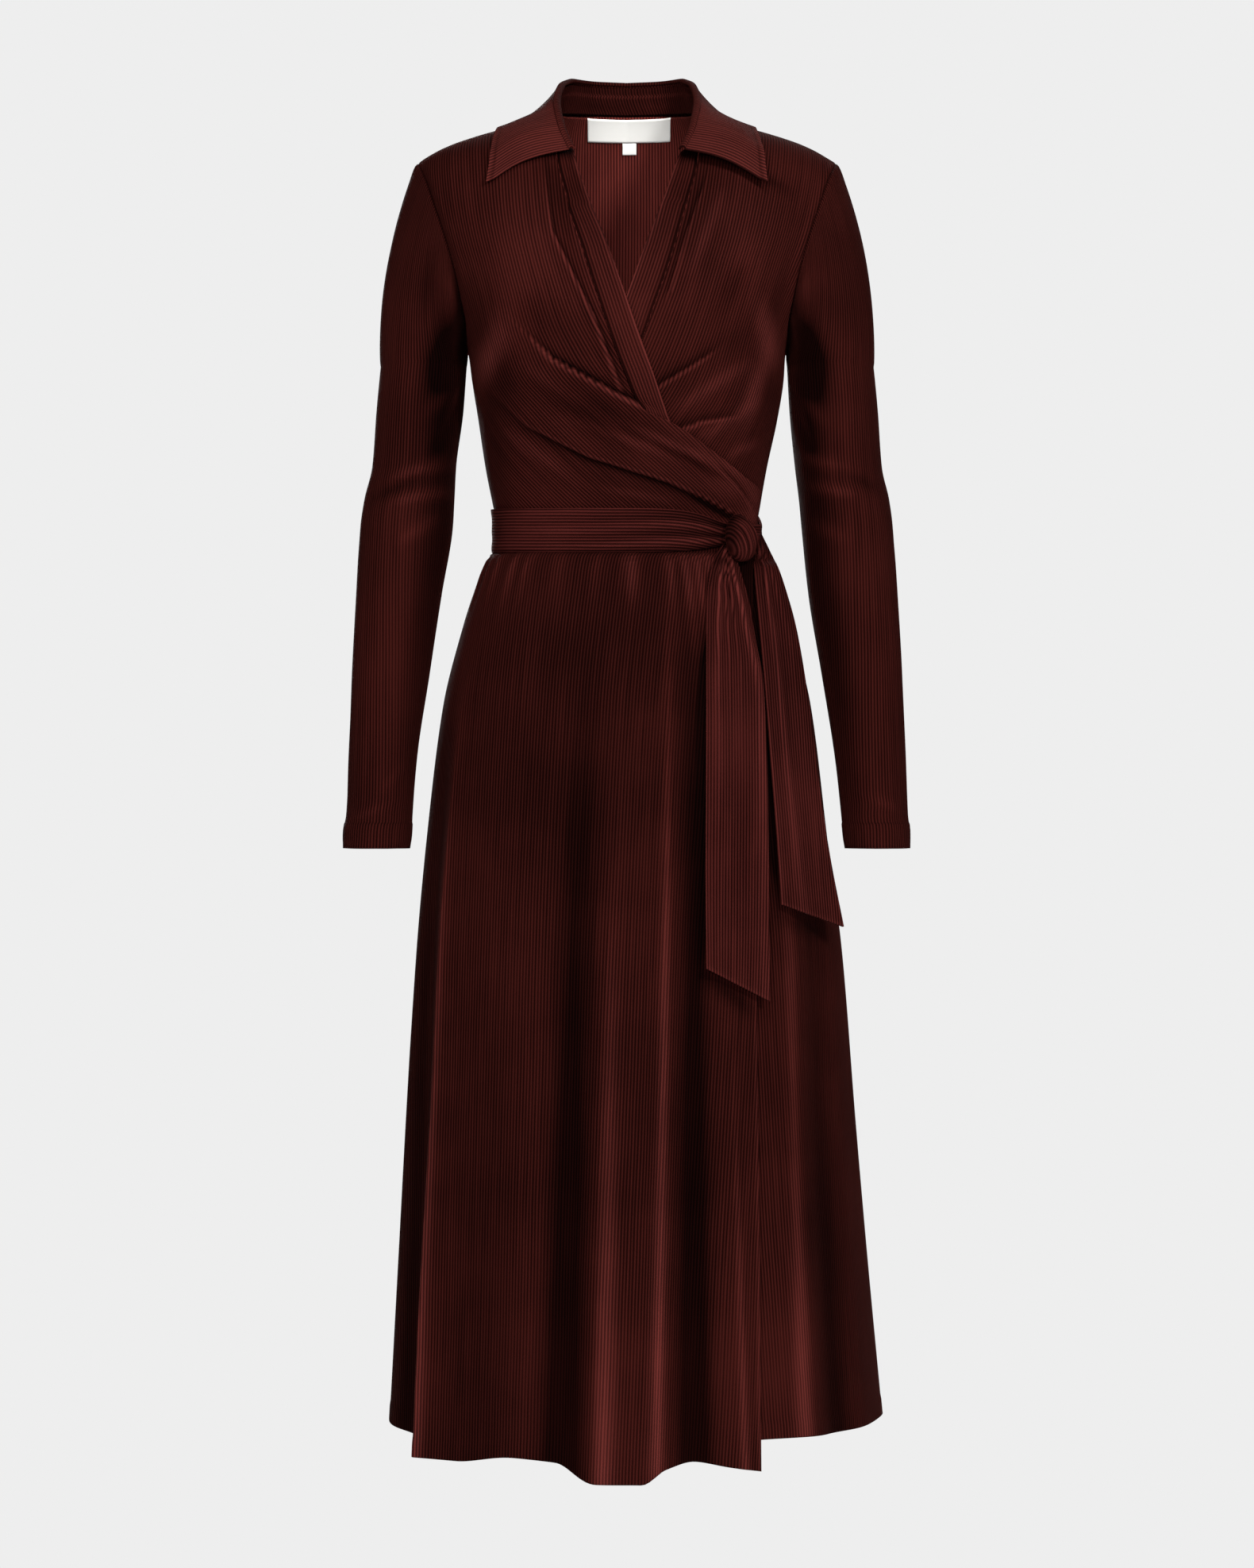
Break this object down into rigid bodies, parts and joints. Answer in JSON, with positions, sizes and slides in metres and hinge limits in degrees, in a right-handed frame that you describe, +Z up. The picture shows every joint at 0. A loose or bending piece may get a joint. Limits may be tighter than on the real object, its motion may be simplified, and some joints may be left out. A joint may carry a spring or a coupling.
{
  "type": "wrap dress",
  "caption": "Long-sleeved midi wrap dress in burgundy fine-ribbed velvet with a shirt collar and a tie belt.",
  "frame": {"origin": "middle of the neck at the height where the shoulders hold the dress", "axes": "+Z up the dress, -Y out of its front, +X to the wearer's left"},
  "size_m": [0.4923, 0.37, 1.211],
  "materials": {
    "ribbed_velvet": "velvet pile in fine ribs",
    "ribbed_velvet_belt": "velvet pile in fine ribs",
    "white_label": "satin woven tape"
  },
  "bodies": {
    "root": {"back_bodice": "ribbed_velvet", "right_front_bodice": "ribbed_velvet", "left_front_bodice": "ribbed_velvet", "right_front_band": "ribbed_velvet", "left_front_band": "ribbed_velvet", "right_sleeve": "ribbed_velvet", "left_sleeve": "ribbed_velvet", "collar_stand": "ribbed_velvet", "collar_fall": "ribbed_velvet", "back_skirt": "ribbed_velvet", "right_front_skirt": "ribbed_velvet", "left_front_skirt": "ribbed_velvet", "waist_belt": "ribbed_velvet_belt", "belt_knot": "ribbed_velvet_belt", "belt_tail_front": "ribbed_velvet_belt", "belt_tail_side": "ribbed_velvet_belt", "neck_label": "white_label", "size_tab": "white_label"}
  },
  "joints": []
}
